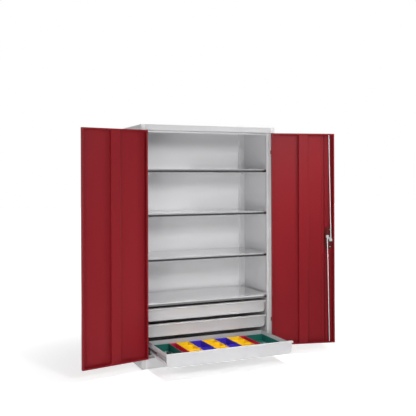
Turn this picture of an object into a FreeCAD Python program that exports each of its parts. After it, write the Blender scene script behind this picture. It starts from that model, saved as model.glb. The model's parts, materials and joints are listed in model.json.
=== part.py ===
# Steel cabinet: two folded doors swung open, four shelves and three drawers, the lowest one pulled out.
# Millimetres and degrees. The origin is on the floor in the middle of the plinth's foot: +X to the right
# seen from the front, +Y to the back, +Z up. The doors and the lowest drawer stand open.
import FreeCAD
import Part
import Sketcher
import itertools
import math
import os

SIZES = {
    # Carcass
    "cabinet_width": 1200,
    "cabinet_height": 1950,
    "cabinet_depth": 600,
    "datum_setback": 12.5,
    "sheet_thickness": 1.2,
    "flange_width": 33,
    "stop_depth": 38,
    "stop_width": 21,
    "stop_return": 32,
    "stop_height": 16,
    "fascia_height": 44,
    "plinth_height": 84,
    "plinth_foot": 25,
    "roof_fold": 20,
    "rear_flange": 25,
    # Slotted rails and shelves
    "rail_width": 26,
    "rail_depth": 20,
    "rail_end_gap": 8,
    "slot_width": 4,
    "slot_height": 14,
    "slot_pitch": 33,
    "slot_margin": 24,
    "top_bay_height": 295,
    "shelf_edge": 25,
    "shelf_side_gap": 26,
    "shelf_gap": 2,
    "clip_length": 16,
    "clip_width": 14,
    "clip_height": 9,
    # Doors and hinges
    "door_thickness": 26,
    "door_gap": 2.5,
    "door_meeting_gap": 3,
    "door_foot_gap": 3,
    "door_head_gap": 4,
    "door_lip": 14,
    "left_door_angle": 168,
    "right_door_angle": 167,
    "hinge_inset": 3.5,
    "hinge_stand": 5.8,
    "knuckle_radius": 5.5,
    "pin_radius": 3,
    "pin_clearance": 0.05,
    "door_knuckle_height": 32,
    "post_knuckle_height": 24,
    "knuckle_gap": 0.3,
    "leaf_thickness": 2,
    "leaf_width": 16,
    "upper_hinge_drop": 178,
    "lower_hinge_rise": 206,
    "stiffener_top": 78,
    "stiffener_base": 88,
    "stiffener_height": 20,
    "stiffener_brim": 10,
    # Lock
    "lock_edge": 48,
    "lock_level": 994,
    "lock_strip_width": 26,
    "lock_strip_rise": 9,
    "cup_width": 66,
    "cup_height": 190,
    "cup_depth": 14,
    "cup_wall": 1.5,
    "rim_width": 4,
    "rim_thickness": 2,
    "spindle_radius": 6,
    "hub_radius": 13,
    "lever_length": 108,
    "lever_width": 20,
    "lever_thickness": 9,
    "lever_gap": 1,
    "plug_radius": 5,
    "plug_length": 7,
    "keyway_width": 2,
    "keyway_length": 6,
    "keyway_depth": 4,
    "running_clearance": 0.05,
    "layer_gap": 0.5,
    "cam_thickness": 3,
    "cam_end_radius": 12,
    "cam_pin_radius": 4,
    "cam_pin_across": 15.5,
    "cam_pin_drop": 15.5,
    "rod_radius": 4,
    "rod_tip": 1.5,
    "eye_width": 26,
    "eye_thickness": 3,
    "eye_rim": 5,
    "tongue_width": 9,
    "tongue_length": 62,
    "tongue_overlap": 13,
    "eye_slot_play": 0.9,
    "eye_slot_reach": 8,
    "guide_width": 26,
    "guide_height": 8,
    "guide_play": 0.8,
    "catch_radius": 8,
    # Drawers
    "drawer_foot_gap": 5,
    "drawer_gap": 27,
    "drawer_head_gap": 22,
    "drawer_rear_gap": 23.4,
    "front_height": 102,
    "front_side_gap": 10.8,
    "front_setback": 63,
    "front_fold": 18,
    "lip_height": 14,
    "lip_depth": 13,
    "lip_back": 12,
    "lip_overhang": 7,
    "corner_cut_width": 20,
    "corner_cut_height": 16,
    "tray_rise": 5,
    "tray_drop": 9,
    "runner_space": 27.8,
    "runner_thickness": 1.5,
    "runner_height": 40,
    "runner_setback": 66,
    "runner_play": 0.3,
    "outer_runner_gap": 3.8,
    "middle_runner_reach": 9,
    "middle_runner_back": 4,
    "inner_runner_reach": 8,
    "runner_reserve": 25.2,
    # Insert bins
    "bin_side_gap": 2.8,
    "bin_rear_gap": 17.2,
    "bin_height": 56,
    "bin_wall": 1.6,
    "bin_gap": 0.4,
}

# Colours of the insert bins from left to right, one word for each module, and the bins along each strip
BIN_ROW = ("green green green red yellow yellow blue blue yellow yellow "
           "blue blue yellow yellow red green green green").split()
BIN_STRIPS = {"green": ["whole"], "red": ["whole"], "blue": ["front", "rear"],
              "yellow": ["front", "second", "third", "rear"]}
DRAWERS = ("drawer_1", "drawer_2", "drawer_3")
SHELVES = ("shelf_1", "shelf_2", "shelf_3", "shelf_4")
UPRIGHT = (0, 0, 1)
STEPS = {"right": (1, 0), "left": (-1, 0), "up": (0, 1), "down": (0, -1)}


class Size:
    """A size: its value now, and its formula over the cells of the sheet."""

    def __init__(self, value, formula):
        self.value = value
        self.formula = formula

    def joined(self, sign, other, value):
        return Size(value, f"({self.formula} {sign} {as_size(other).formula})")

    def __add__(self, other):
        return self.joined("+", other, self.value + as_size(other).value)

    def __sub__(self, other):
        return self.joined("-", other, self.value - as_size(other).value)

    def __mul__(self, other):
        return self.joined("*", other, self.value * as_size(other).value)

    def __truediv__(self, other):
        return self.joined("/", other, self.value / as_size(other).value)

    def __radd__(self, other):
        return as_size(other) + self

    def __rsub__(self, other):
        return as_size(other) - self

    def __rmul__(self, other):
        return as_size(other) * self

    def __neg__(self):
        return as_size(-1) * self


def as_size(number):
    """A plain number as a size with a constant formula."""
    if isinstance(number, Size):
        return number
    return Size(number, f"({number})")


def distance(first, second):
    """The long side of a right triangle."""
    return Size(math.hypot(first.value, second.value),
                f"sqrt({(first * first + second * second).formula})")


def heading(across, along):
    """The angle in degrees whose tangent is across over along."""
    return Size(math.degrees(math.atan2(across.value, along.value)),
                f"atan2({across.formula}; {along.formula})")


document = FreeCAD.newDocument("steel_cabinet")
sheet = document.addObject("Spreadsheet::Sheet", "Sizes")
for row, (alias, value) in enumerate(SIZES.items(), start=1):
    sheet.set(f"A{row}", alias)
    sheet.set(f"B{row}", str(value))
    sheet.setAlias(f"B{row}", alias)
document.recompute()

nodes = []


def size(alias):
    """The named size, bound to its cell."""
    return Size(SIZES[alias], f"Sizes.{alias}")


# Places that several pieces share
thickness = size("sheet_thickness")
half_width = size("cabinet_width") / 2
front = -size("datum_setback")
back = front + size("cabinet_depth")
inner_back = back - thickness * 2
roof_underside = size("cabinet_height") - thickness
opening_half = half_width - size("flange_width")
clear_half = opening_half - size("stop_width")
stop_face = front + size("stop_depth")
stop_end = stop_face + size("stop_return")
floor_top = size("plinth_height") + size("stop_height")
rear_rail_face = inner_back - size("rail_depth")
panel_half = clear_half - thickness
drawer_pitch = size("front_height") + size("drawer_gap")
top_front_top = floor_top + size("drawer_foot_gap") + drawer_pitch * len(DRAWERS) - size("drawer_gap")
drawer_shelf_bottom = top_front_top + size("drawer_head_gap")
drawer_shelf_top = drawer_shelf_bottom + size("shelf_edge")
opening_top = size("cabinet_height") - size("fascia_height") - size("stop_height")

hinge_half = opening_half - size("hinge_inset")
hinge_front = front - size("hinge_stand")
door_bottom = size("plinth_height") + size("door_foot_gap")
door_top = size("cabinet_height") - size("fascia_height") - size("door_head_gap")
door_height = door_top - door_bottom
hinge_edge = size("door_gap") - size("hinge_inset")
free_edge = hinge_half - size("door_meeting_gap") / 2
outer_face = size("hinge_stand")
inner_face = outer_face + size("door_thickness")

lock_place = free_edge - size("lock_edge")
cup_back = outer_face + size("cup_depth")
cam_front = cup_back + size("layer_gap")
cam_back = cam_front + size("cam_thickness")
eye_front = cam_back + size("layer_gap")
rod_line = eye_front + size("eye_thickness") / 2

drawer_face = front + size("front_setback")
tray_front = drawer_face + thickness
tray_half = panel_half - size("runner_space")
tray_height = size("front_height") - size("tray_rise") - size("tray_drop")
drawer_rear = rear_rail_face - size("drawer_rear_gap")
runner_length = drawer_rear - front - size("runner_setback")
open_pull = runner_length - size("runner_reserve")


def bind(item, name, amount):
    """Ties a property of a document object to a size."""
    item.setExpression(name, as_size(amount).formula)


def move(item, x, y, z):
    """Ties an object's place to sizes."""
    for axis, amount in zip("xyz", (x, y, z)):
        bind(item, f"Placement.Base.{axis}", amount)
    return item


def turn(item, axis, angle):
    """Ties an object's turn about an axis to a size or formula in degrees."""
    item.Placement.Rotation = FreeCAD.Rotation(FreeCAD.Vector(*axis), as_size(angle).value)
    for name, amount in zip("xyz", axis):
        bind(item, f"Placement.Rotation.Axis.{name}", amount)
    bind(item, "Placement.Rotation.Angle", angle)
    return item


def node(item, label):
    """Names a finished sub-part and lists it for writing."""
    item.Label = label
    nodes.append(item)
    return item


def origin_feature(body, role):
    return next(item for item in body.Origin.OriginFeatures if item.Role == role)


def new_body(name):
    return document.addObject("PartDesign::Body", name)


def new_sketch(body, plane, lift=0):
    """A sketch on one of the body's own planes, lifted off it by a size."""
    sketch = body.newObject("Sketcher::SketchObject", f"{body.Name}_sketch")
    sketch.AttachmentSupport = [(origin_feature(body, plane), "")]
    sketch.MapMode = "FlatFace"
    bind(sketch, "AttachmentOffset.Base.z", lift)
    return sketch


def set_point(sketch, geometry, point, corner):
    """Holds a sketch point at a corner given by two sizes."""
    for kind, amount in zip(("DistanceX", "DistanceY"), corner):
        amount = as_size(amount)
        constraint = Sketcher.Constraint(kind, geometry, point, amount.value)
        bind(sketch, f"Constraints[{sketch.addConstraint(constraint)}]", amount)


def draw_outline(sketch, corners):
    """Draws one closed outline through corners given as pairs of sizes."""
    points = [FreeCAD.Vector(as_size(a).value, as_size(b).value, 0) for a, b in corners]
    first = sketch.GeometryCount
    count = len(points)
    for index in range(count):
        sketch.addGeometry(Part.LineSegment(points[index], points[(index + 1) % count]), False)
    for index in range(count):
        following = first + (index + 1) % count
        sketch.addConstraint(Sketcher.Constraint("Coincident", first + index, 2, following, 1))
    for index, corner in enumerate(corners):
        set_point(sketch, first + index, 1, corner)


def draw_circle(sketch, centre, radius):
    """Draws one circle about a centre given as a pair of sizes."""
    radius = as_size(radius)
    middle = FreeCAD.Vector(as_size(centre[0]).value, as_size(centre[1]).value, 0)
    circle = Part.Circle(middle, FreeCAD.Vector(0, 0, 1), radius.value)
    geometry = sketch.addGeometry(circle, False)
    set_point(sketch, geometry, 3, centre)
    constraint = Sketcher.Constraint("Radius", geometry, radius.value)
    bind(sketch, f"Constraints[{sketch.addConstraint(constraint)}]", radius)


def rectangle(a_low, a_high, b_low, b_high):
    return [(a_low, b_low), (a_high, b_low), (a_high, b_high), (a_low, b_high)]


def folded(start, moves, metal):
    """Outline of a folded sheet whose face follows the moves, with its metal to their left."""
    face = [start]
    for word, length in moves:
        across, along = STEPS[word]
        a, b = face[-1]
        face.append((a + across * length if across else a, b + along * length if along else b))
    normals = [(-STEPS[word][1], STEPS[word][0]) for word, length in moves]
    rear = []
    for index, (a, b) in enumerate(face):
        sides = {normals[max(index - 1, 0)], normals[min(index, len(normals) - 1)]}
        across = sum(side[0] for side in sides)
        along = sum(side[1] for side in sides)
        rear.append((a + across * metal if across else a, b + along * metal if along else b))
    return face + rear[::-1]


def mirrored(corners):
    return [(-a, b) for a, b in corners]


def pad(body, plane, outlines, length, lift=0, backwards=False):
    """Adds metal: closed outlines on a plane of the body, pushed out by a length."""
    sketch = new_sketch(body, plane, lift)
    for corners in outlines:
        draw_outline(sketch, corners)
    feature = body.newObject("PartDesign::Pad", f"{body.Name}_pad")
    feature.Profile = sketch
    feature.Reversed = backwards
    bind(feature, "Length", length)
    return feature


def pocket(body, sketch, length, backwards=False):
    """Takes metal away: a sketch pushed into the body by a length."""
    feature = body.newObject("PartDesign::Pocket", f"{body.Name}_pocket")
    feature.Profile = sketch
    feature.Reversed = backwards
    bind(feature, "Length", length)
    return feature


def box(name, x, y, z):
    """A block between the low and high sizes along each axis."""
    item = document.addObject("Part::Box", name)
    for prop, (low, high) in zip(("Length", "Width", "Height"), (x, y, z)):
        bind(item, prop, high - low)
    return move(item, x[0], y[0], z[0])


def in_order(first, second):
    return sorted((first, second), key=lambda amount: amount.value)


def middle_box(name, middle, half, y, z):
    """A block that reaches equally far to both sides of a place across."""
    return box(name, (middle - half, middle + half), y, z)


def cylinder(name, radius, height, x, y, z):
    """An upright cylinder standing on the given point."""
    item = document.addObject("Part::Cylinder", name)
    bind(item, "Radius", radius)
    bind(item, "Height", height)
    return move(item, x, y, z)


def level_cylinder(name, radius, x, z, y_low, y_high):
    """A cylinder along Y between two sizes."""
    return turn(cylinder(name, radius, y_high - y_low, x, y_low, z), (-1, 0, 0), 90)


def fuse(name, items):
    item = document.addObject("Part::MultiFuse", name)
    item.Shapes = items
    item.Refine = True
    return item


def cut(name, base, tool):
    item = document.addObject("Part::Cut", name)
    item.Base = base
    item.Tool = tool
    item.Refine = True
    return item


def group(name, items):
    """Separate solids that share one node."""
    item = document.addObject("Part::Compound", name)
    item.Links = items
    return item


def open_box(name, x, y, z, wall):
    """A box open at the top, with walls and floor of one thickness."""
    body = new_body(name)
    pad(body, "XY_Plane", [rectangle(*x, *y)], z[1] - z[0])
    sketch = new_sketch(body, "XY_Plane", wall)
    draw_outline(sketch, rectangle(x[0] + wall, x[1] - wall, y[0] + wall, y[1] - wall))
    pocket(body, sketch, z[1] - z[0], backwards=True)
    return move(body, 0, 0, z[0])


# Carcass
def make_side_wall(label, right):
    """One folded sheet: rear flange, wall, front flange, rebate and door stop."""
    moves = [("left", size("rear_flange")), ("down", size("cabinet_depth")), ("right", size("flange_width")),
             ("up", size("stop_depth")), ("right", size("stop_width")), ("up", size("stop_return"))]
    corners = folded((size("rear_flange") - half_width, back), moves, thickness)
    body = new_body(label)
    pad(body, "XY_Plane", [mirrored(corners) if right else corners], roof_underside)
    node(body, label)


def make_back_panel():
    side = half_width - thickness
    panel = box("back_panel", (-side, side), (inner_back, back - thickness), (as_size(0), roof_underside))
    node(panel, "back_panel")


def make_roof():
    """The roof plate with a stiffening fold inside each side wall."""
    body = new_body("roof")
    pad(body, "XY_Plane", [rectangle(-half_width, half_width, front, back)], thickness)
    outer = half_width - thickness
    fold = rectangle(outer - thickness, outer, stop_end + thickness, rear_rail_face - thickness)
    pad(body, "XY_Plane", [fold, mirrored(fold)], size("roof_fold"), backwards=True)
    node(move(body, 0, 0, roof_underside), "roof")


def add_catch_hole(body, level, backwards):
    """The hole that a locking rod enters when the right door is shut and locked."""
    sketch = new_sketch(body, "XY_Plane", level)
    draw_circle(sketch, (hinge_half - lock_place, hinge_front + rod_line), size("catch_radius"))
    pocket(body, sketch, thickness * 2, backwards)


def make_roof_fascia():
    """The strip over the doors: its face, the ledge under it and the door stop behind."""
    body = new_body("roof_fascia")
    ledge = size("cabinet_height") - size("fascia_height")
    moves = [("down", roof_underside - ledge), ("right", size("stop_depth"))]
    face = folded((front, roof_underside), moves, thickness)
    pad(body, "YZ_Plane", [face], opening_half * 2, -opening_half)
    lip = rectangle(stop_face, stop_face + thickness, ledge - size("stop_height"), ledge + thickness)
    pad(body, "YZ_Plane", [lip], clear_half * 2, -clear_half)
    add_catch_hole(body, ledge - thickness / 2, backwards=True)
    node(body, "roof_fascia")


def make_plinth():
    """The strip under the doors: its foot, its face, the ledge and the door stop behind."""
    body = new_body("plinth")
    ledge = size("plinth_height")
    moves = [("left", size("stop_depth")), ("down", ledge), ("right", size("plinth_foot"))]
    face = folded((stop_face, ledge), moves, thickness)
    pad(body, "YZ_Plane", [face], opening_half * 2, -opening_half)
    lip = rectangle(stop_face, stop_face + thickness, ledge - thickness, floor_top - thickness)
    pad(body, "YZ_Plane", [lip], clear_half * 2, -clear_half)
    add_catch_hole(body, ledge + thickness / 2, backwards=False)
    node(body, "plinth")


def stepped_outline(nose_half, half, low, step, high):
    """A plate that is narrow between the front posts and wide behind them."""
    return [(-nose_half, low), (nose_half, low), (nose_half, step), (half, step),
            (half, high), (-half, high), (-half, step), (-nose_half, step)]


def make_floor_plate():
    body = new_body("floor_plate")
    outline = stepped_outline(clear_half, half_width - thickness, stop_face, stop_end, inner_back)
    pad(body, "XY_Plane", [outline], thickness)
    node(move(body, 0, 0, floor_top - thickness), "floor_plate")


def make_rail(label, moves, slot_place, low, high, x, y, angle):
    """An upright folded rail with a column of slots in its face."""
    body = new_body(label)
    origin = (as_size(0), as_size(0))
    pad(body, "XY_Plane", [folded(origin, moves, thickness)], high - low)
    sketch = new_sketch(body, "XZ_Plane", thickness * 2 - slot_place[1])
    slot_low = size("slot_margin")
    half_slot = size("slot_width") / 2
    draw_outline(sketch, rectangle(slot_place[0] - half_slot, slot_place[0] + half_slot,
                                   slot_low, slot_low + size("slot_height")))
    slot = pocket(body, sketch, thickness * 4)
    pattern = body.newObject("PartDesign::LinearPattern", f"{label}_slots")
    pattern.Originals = [slot]
    pattern.Direction = (origin_feature(body, "Z_Axis"), [""])
    span = high - low - size("slot_margin") * 2 - size("slot_height")
    gaps = Size(int(span.value / SIZES["slot_pitch"]), f"floor({(span / size('slot_pitch')).formula})")
    bind(pattern, "Length", gaps * size("slot_pitch"))
    bind(pattern, "Occurrences", gaps + 1)
    body.Tip = pattern
    node(turn(move(body, x, y, low), UPRIGHT, angle), label)


def make_rails():
    """Rear corner rails on the back panel and flat rails on the front posts."""
    width = half_width - thickness - clear_half
    depth = size("rail_depth")
    make_rail("left_rear_rail", [("right", width), ("up", depth)], (width / 2, as_size(0)),
              floor_top, roof_underside, thickness - half_width, rear_rail_face, 0)
    make_rail("right_rear_rail", [("down", depth), ("right", width)], (width / 2, -depth),
              floor_top, roof_underside, clear_half, inner_back, 0)
    strip = size("rail_width")
    low = drawer_shelf_top + size("rail_end_gap")
    high = opening_top - size("rail_end_gap")
    near = stop_face + thickness + size("shelf_gap")
    make_rail("left_front_rail", [("right", strip)], (strip / 2, as_size(0)),
              low, high, -panel_half, near, 90)
    make_rail("right_front_rail", [("right", strip)], (strip / 2, as_size(0)),
              low, high, panel_half, near + strip, -90)


def shelf_top(label):
    """Height of a shelf: they stand evenly between the drawers and the top bay."""
    share = SHELVES[::-1].index(label) / (len(SHELVES) - 1)
    return drawer_shelf_top + (opening_top - size("top_bay_height") - drawer_shelf_top) * share


def make_shelf(label):
    """A shelf with its edges folded down, notched round the front posts."""
    nose = panel_half - size("shelf_gap")
    half = half_width - thickness - size("shelf_side_gap")
    low = stop_face + thickness + size("shelf_gap")
    step = stop_end + size("shelf_gap")
    high = rear_rail_face - size("shelf_gap")
    body = new_body(label)
    pad(body, "XY_Plane", [stepped_outline(nose, half, low, step, high)], size("shelf_edge"))
    sketch = new_sketch(body, "XY_Plane")
    draw_outline(sketch, stepped_outline(nose - thickness, half - thickness, low + thickness,
                                         step + thickness, high - thickness))
    pocket(body, sketch, size("shelf_edge") - thickness, backwards=True)
    node(move(body, 0, 0, shelf_top(label) - size("shelf_edge")), label)


def make_shelf_clips():
    """Four clips under each adjustable shelf: two on the front rails, two on the rear rails."""
    clips = []
    width = size("clip_width")
    length = size("clip_length")
    front_low = stop_face + thickness + size("shelf_gap") + size("rail_width") / 2 - width / 2
    rear_middle = (half_width - thickness + clear_half) / 2
    for shelf in SHELVES[:-1]:
        high = shelf_top(shelf) - size("shelf_edge")
        level = (high - size("clip_height"), high)
        for side in (-1, 1):
            reach = in_order(side * panel_half, side * (panel_half - length))
            clips.append(box("front_clip", reach, (front_low, front_low + width), level))
            clips.append(middle_box("rear_clip", side * rear_middle, width / 2,
                                    (rear_rail_face - length, rear_rail_face), level))
    node(group("shelf_clips", clips), "shelf_clips")


def make_runner_panels():
    """Plates beside the drawers, from the front posts to the rear rails."""
    near = stop_face + thickness + size("shelf_gap")
    level = (floor_top, drawer_shelf_bottom)
    node(box("left_panel", (-clear_half, -panel_half), (near, inner_back), level), "left_runner_panel")
    node(box("right_panel", (panel_half, clear_half), (near, inner_back), level), "right_runner_panel")


# Hinges
def hinge_levels():
    """Heights of the lower face of each door knuckle."""
    return (door_bottom + size("lower_hinge_rise"), door_top - size("upper_hinge_drop"))


def knuckle(name, side, leaf_way, low, height, bore):
    """A barrel on the hinge axis with a leaf that lies on the front plane, in hinge-axis coordinates."""
    barrel = cylinder(f"{name}_barrel", size("knuckle_radius"), height, 0, 0, low)
    ends = in_order(as_size(0), side * leaf_way * size("leaf_width"))
    leaf = box(f"{name}_leaf", ends, (outer_face - size("leaf_thickness"), outer_face), (low, low + height))
    hole = cylinder(f"{name}_hole", bore, height, 0, 0, low)
    return cut(name, fuse(f"{name}_body", [barrel, leaf]), hole)


def make_fixed_hinges():
    """The post knuckles and the pins pressed into them."""
    brackets = []
    pins = []
    for side in (-1, 1):
        for level in hinge_levels():
            low = level - size("knuckle_gap") - size("post_knuckle_height")
            bracket = knuckle("post_knuckle", side, 1, low, size("post_knuckle_height"), size("pin_radius"))
            brackets.append(move(bracket, side * hinge_half, hinge_front, 0))
            reach = size("post_knuckle_height") + size("knuckle_gap") + size("door_knuckle_height")
            pins.append(cylinder("pin", size("pin_radius"), reach, side * hinge_half, hinge_front, low))
    node(group("hinge_brackets", brackets), "hinge_brackets")
    node(group("hinge_pins", pins), "hinge_pins")


# Doors, each built shut in coordinates from its hinge axis and then swung open
def swing(item, right, level=0):
    """Puts a door piece on its hinge axis, turned to the door's open angle."""
    if right:
        return turn(move(item, hinge_half, hinge_front, level), UPRIGHT, size("right_door_angle"))
    return turn(move(item, -hinge_half, hinge_front, level), UPRIGHT, -size("left_door_angle"))


def sided(right, corners):
    return mirrored(corners) if right else corners


def make_door_panel(label, right):
    """One sheet folded on all four edges, with a lip behind each fold."""
    body = new_body(label)
    deep = size("door_thickness")
    lip = size("door_lip")
    moves = [("left", lip), ("down", deep), ("right", free_edge - hinge_edge), ("up", deep), ("left", lip)]
    upright = folded((hinge_edge + lip, inner_face), moves, thickness)
    pad(body, "XY_Plane", [sided(right, upright)], door_height)
    head = folded((inner_face, door_height - lip), [("up", lip), ("left", deep)], thickness)
    foot = folded((outer_face, as_size(0)), [("right", deep), ("up", lip)], thickness)
    reach = free_edge - hinge_edge
    start = -free_edge if right else hinge_edge
    pad(body, "YZ_Plane", [head, foot], reach, start)
    if right:
        add_lock_openings(body)
    node(swing(body, right, door_bottom), label)


def add_lock_openings(body):
    """The oval hole for the handle cup and the holes that the rods pass through."""
    sketch = new_sketch(body, "XZ_Plane", -outer_face - thickness * 2)
    radius = size("cup_width") / 2
    straight = size("cup_height") / 2 - radius
    middle = size("lock_level") - door_bottom
    draw_oval(sketch, -lock_place, middle, radius, straight)
    pocket(body, sketch, thickness * 3, backwards=True)
    for level, backwards in ((as_size(0), True), (door_height, False)):
        rod_hole = new_sketch(body, "XY_Plane", level)
        draw_circle(rod_hole, (-lock_place, rod_line), size("rod_radius") + size("guide_play") * 2)
        pocket(body, rod_hole, thickness * 2, backwards)


def draw_oval(sketch, across, middle, radius, straight):
    """Draws an upright oval: two half circles joined by straight sides."""
    centre = FreeCAD.Vector(across.value, middle.value, 0)
    rise = FreeCAD.Vector(0, straight.value, 0)
    side = FreeCAD.Vector(radius.value, 0, 0)
    up = FreeCAD.Vector(0, radius.value, 0)
    sketch.addGeometry(Part.Arc(centre + rise + side, centre + rise + up, centre + rise - side), False)
    sketch.addGeometry(Part.LineSegment(centre + rise - side, centre - rise - side), False)
    sketch.addGeometry(Part.Arc(centre - rise - side, centre - rise - up, centre - rise + side), False)
    sketch.addGeometry(Part.LineSegment(centre - rise + side, centre + rise + side), False)
    for first, following in ((0, 1), (1, 2), (2, 3), (3, 0)):
        sketch.addConstraint(Sketcher.Constraint("Tangent", first, 2, following, 1))
    set_point(sketch, 0, 3, (across, middle + straight))
    set_point(sketch, 2, 3, (across, middle - straight))
    constraint = Sketcher.Constraint("Radius", 0, radius.value)
    bind(sketch, f"Constraints[{sketch.addConstraint(constraint)}]", radius)


def make_stiffener(label, right):
    """A hat-shaped strip up the middle of the door, its brims on the door's skin."""
    middle = (hinge_edge + free_edge) / 2
    skin = outer_face + thickness
    top = size("stiffener_top") / 2
    base = size("stiffener_base") / 2
    brim = base + size("stiffener_brim")
    crest = skin + size("stiffener_height")
    half = [(brim, skin + thickness), (base, skin + thickness), (top, crest)]
    under = [(top - thickness, crest - thickness), (base - thickness, skin), (brim, skin)]
    left = [(middle - across, depth) for across, depth in half]
    right_side = [(middle + across, depth) for across, depth in reversed(half)]
    right_under = [(middle + across, depth) for across, depth in reversed(under)]
    left_under = [(middle - across, depth) for across, depth in under]
    body = new_body(label)
    pad(body, "XY_Plane", [sided(right, left + right_side + right_under + left_under)],
        door_height - thickness * 2)
    node(swing(body, right, door_bottom + thickness), label)


def make_door_knuckles(label, right):
    """The knuckles welded to the door, which drop over the hinge pins."""
    side = 1 if right else -1
    bore = size("pin_radius") + size("pin_clearance")
    pieces = [knuckle("door_knuckle", side, -1, level, size("door_knuckle_height"), bore)
              for level in hinge_levels()]
    node(swing(group(label, pieces), right), label)


# Lock on the right door, where the door reaches towards minus X from its hinge axis
def make_lock_strip():
    """An angle strip beside the lock that stiffens the free edge."""
    body = new_body("lock_strip")
    skin = outer_face + thickness
    inner = lock_place - size("cup_width") / 2 - size("rim_width")
    moves = [("right", size("lock_strip_width")), ("up", size("lock_strip_rise"))]
    strip = folded((inner - size("lock_strip_width"), skin), moves, thickness)
    pad(body, "XY_Plane", [mirrored(strip)], door_height - thickness * 2)
    node(swing(body, True, door_bottom + thickness), "lock_strip")


def oval_block(name, width, height, y_low, y_high):
    """An oval block about the lock's axis, in hinge-axis coordinates."""
    radius = width / 2
    straight = height / 2 - radius
    level = size("lock_level")
    middle = middle_box(f"{name}_middle", -lock_place, radius, (y_low, y_high),
                        (level - straight, level + straight))
    upper = level_cylinder(f"{name}_upper", radius, -lock_place, level + straight, y_low, y_high)
    lower = level_cylinder(f"{name}_lower", radius, -lock_place, level - straight, y_low, y_high)
    return fuse(name, [middle, upper, lower])


def make_handle_cup():
    """The oval cup behind the handle, with a rim on the door's outer face."""
    rim_face = outer_face - size("rim_thickness")
    wide = size("cup_width")
    tall = size("cup_height")
    brim = size("rim_width") * 2
    walls = size("cup_wall") * 2
    rim = oval_block("cup_rim", wide + brim, tall + brim, rim_face, outer_face)
    shell = oval_block("cup_shell", wide, tall, outer_face, cup_back)
    hollow = oval_block("cup_hollow", wide - walls, tall - walls, rim_face, cup_back - size("cup_wall"))
    bore = level_cylinder("cup_bore", size("spindle_radius") + size("running_clearance"), -lock_place,
                          size("lock_level"), outer_face, cup_back)
    solid = fuse("cup_solid", [rim, shell])
    cup = cut("cup", cut("cup_open", solid, hollow), bore)
    node(swing(cup, True), "handle_cup")


def make_door_handle():
    """The lever outside, level when unlocked, on a hub that holds the key plug."""
    back_face = outer_face - size("rim_thickness") - size("lever_gap")
    face = back_face - size("lever_thickness")
    level = size("lock_level")
    half = size("lever_width") / 2
    hub = level_cylinder("hub", size("hub_radius"), -lock_place, level, face, cup_back - size("cup_wall")
                         - size("layer_gap"))
    bar = box("lever_bar", (-lock_place, size("lever_length") - lock_place), (face, back_face),
              (level - half, level + half))
    end = level_cylinder("lever_end", half, size("lever_length") - lock_place, level, face, back_face)
    bore = level_cylinder("plug_bore", size("plug_radius") + size("running_clearance"), -lock_place, level,
                          face, face + size("plug_length"))
    node(swing(cut("handle", fuse("handle_body", [hub, bar, end]), bore), True), "door_handle")
    spindle = level_cylinder("spindle", size("spindle_radius"), -lock_place, level,
                             cup_back - size("cup_wall") - size("layer_gap"), cam_front)
    node(swing(group("spindle_group", [spindle]), True), "lock_spindle")
    plug = level_cylinder("plug", size("plug_radius"), -lock_place, level, face, face + size("plug_length"))
    half_long = size("keyway_length") / 2
    keyway = middle_box("keyway", -lock_place, size("keyway_width") / 2, (face, face + size("keyway_depth")),
                        (level - half_long, level + half_long))
    node(swing(cut("key_plug", plug, keyway), True), "key_plug")


def cam_pin_places():
    """Places of the upper and the lower rod's pin on the cam, across the door and up."""
    level = size("lock_level")
    upper = (-lock_place - size("cam_pin_across"), level - size("cam_pin_drop"))
    lower = (-lock_place + size("cam_pin_across"), level + size("cam_pin_drop"))
    return upper, lower


def make_lock_cam():
    """A plate on the spindle with a pin at each end, one for each rod."""
    upper, lower = cam_pin_places()
    body = new_body("cam_plate")
    sketch = new_sketch(body, "XZ_Plane", -cam_back)
    reach = size("cam_end_radius")
    corners = [(upper[0] - reach, upper[1]), (upper[0], upper[1] - reach),
               (lower[0] + reach, lower[1]), (lower[0], lower[1] + reach)]
    draw_outline(sketch, corners)
    feature = body.newObject("PartDesign::Pad", "cam_pad")
    feature.Profile = sketch
    bind(feature, "Length", size("cam_thickness"))
    pins = [level_cylinder("cam_pin", size("cam_pin_radius"), across, level, cam_front,
                           eye_front + size("eye_thickness") + size("layer_gap"))
            for across, level in (upper, lower)]
    ends = [level_cylinder("cam_end", reach, across, level, cam_front, cam_back)
            for across, level in (upper, lower)]
    node(swing(fuse("cam", [body] + ends + pins), True), "lock_cam")


def make_rod(label, upper):
    """A round rod from its guide to a flat tongue, which ends in a slotted eye on the cam pin."""
    across, level = cam_pin_places()[0 if upper else 1]
    way = 1 if upper else -1
    tongue_end = level + way * size("tongue_length")
    slot_half = size("cam_pin_radius") + size("eye_slot_play")
    reach = size("cam_pin_radius") + size("eye_slot_reach")
    flat = (eye_front, eye_front + size("eye_thickness"))
    eye = middle_box(f"{label}_eye", across, size("eye_width") / 2, flat,
                     (level - slot_half - size("eye_rim"), level + slot_half + size("eye_rim")))
    tongue = middle_box(f"{label}_tongue", across, size("tongue_width") / 2, flat,
                        in_order(level, tongue_end))
    slot = middle_box(f"{label}_slot", across, reach, flat, (level - slot_half, level + slot_half))
    tip = door_top + size("rod_tip") if upper else door_bottom - size("rod_tip")
    start = tongue_end - way * size("tongue_overlap")
    rise = tip - start
    lean = -lock_place - across
    bar = cylinder(f"{label}_bar", size("rod_radius"), distance(rise, lean), across, rod_line, start)
    turn(bar, (0, 1, 0), heading(lean, rise))
    node(swing(cut(label, fuse(f"{label}_body", [eye, tongue, bar]), slot), True), label)


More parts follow.
